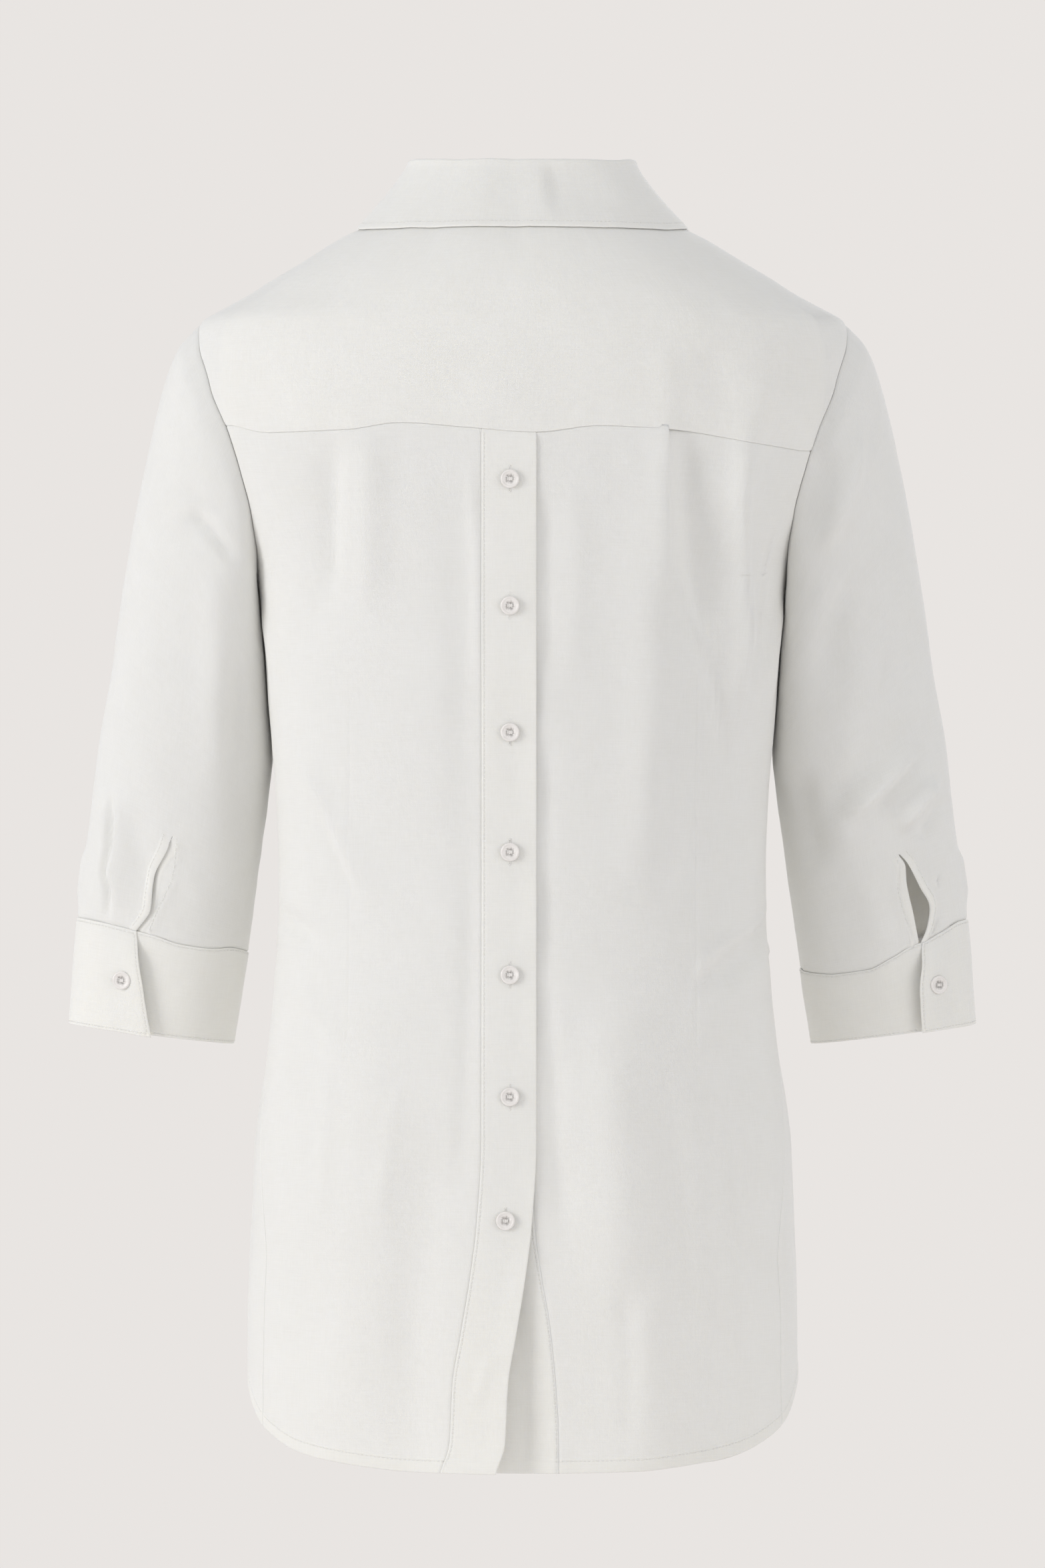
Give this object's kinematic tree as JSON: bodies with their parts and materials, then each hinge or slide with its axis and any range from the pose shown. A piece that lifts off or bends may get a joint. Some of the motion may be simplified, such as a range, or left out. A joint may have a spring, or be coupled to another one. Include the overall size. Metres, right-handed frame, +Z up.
{
  "type": "linen blouse",
  "caption": "Filled-out linen blouse with a shirt collar, back yoke, buttoned back and front openings, three-quarter sleeves with slit cuffs and a curved shirttail hem.",
  "frame": {"origin": "middle of the neck, at the height where the shoulders meet the collar", "axes": "+Z up, +Y towards the front of the garment, +X towards the wearer's right"},
  "size_m": [0.5678, 0.2666, 0.8221],
  "materials": {
    "linen": "off-white linen, plain weave with fine slubs, matt with a faint sheen",
    "buttons": "white, smooth, slightly translucent four-hole shirt button"
  },
  "bodies": {
    "root": {"yoke": "linen", "back_left": "linen", "back_right": "linen", "back_placket": "linen", "back_underlap": "linen", "front_left": "linen", "front_right": "linen", "front_band": "linen", "front_under_band": "linen", "sleeve_left": "linen", "sleeve_right": "linen", "cuff_left": "linen", "cuff_right": "linen", "collar_stand": "linen", "collar_fall": "linen", "collar_button": "buttons", "cuff_left_button": "buttons", "cuff_right_button": "buttons", "back_button_1": "buttons", "back_button_2": "buttons", "back_button_3": "buttons", "back_button_4": "buttons", "back_button_5": "buttons", "back_button_6": "buttons", "back_button_7": "buttons", "front_button_1": "buttons", "front_button_2": "buttons", "front_button_3": "buttons", "front_button_4": "buttons", "front_button_5": "buttons", "front_button_6": "buttons", "front_button_7": "buttons"}
  },
  "joints": []
}
